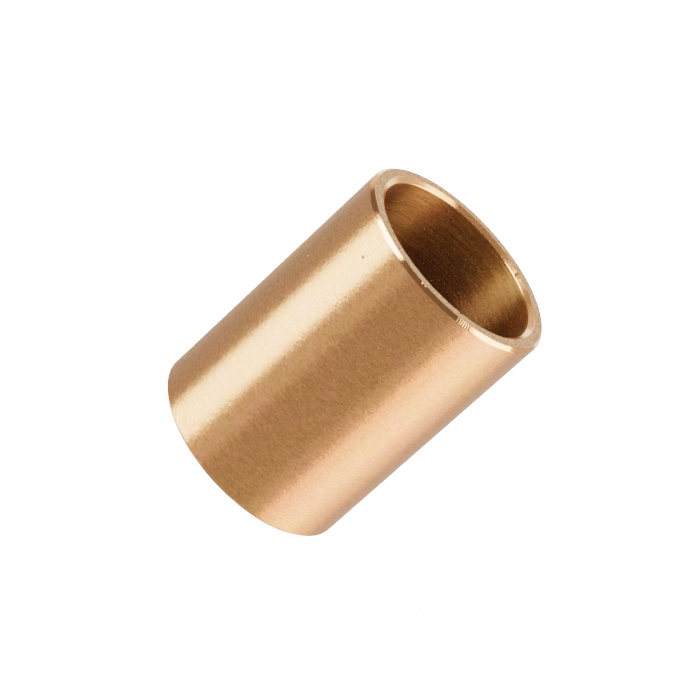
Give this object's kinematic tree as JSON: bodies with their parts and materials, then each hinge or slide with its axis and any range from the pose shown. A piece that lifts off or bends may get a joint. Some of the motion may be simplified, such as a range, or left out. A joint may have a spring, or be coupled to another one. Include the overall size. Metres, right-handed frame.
{
  "type": "plain sleeve bushing",
  "caption": "Plain cylindrical bronze sleeve bushing with chamfered ends: presses into a housing bore and carries a rotating shaft.",
  "frame": {"origin": "centre of the lower end face, on the bore axis", "axes": "+Z along the bore axis, from the lower end face to the upper one; X and Y are free, because the sleeve is a body of revolution"},
  "size_m": [0.03, 0.03, 0.04],
  "materials": {
    "bearing_bronze": "fine-turned satin"
  },
  "bodies": {
    "root": {"sleeve": "bearing_bronze"}
  },
  "joints": []
}
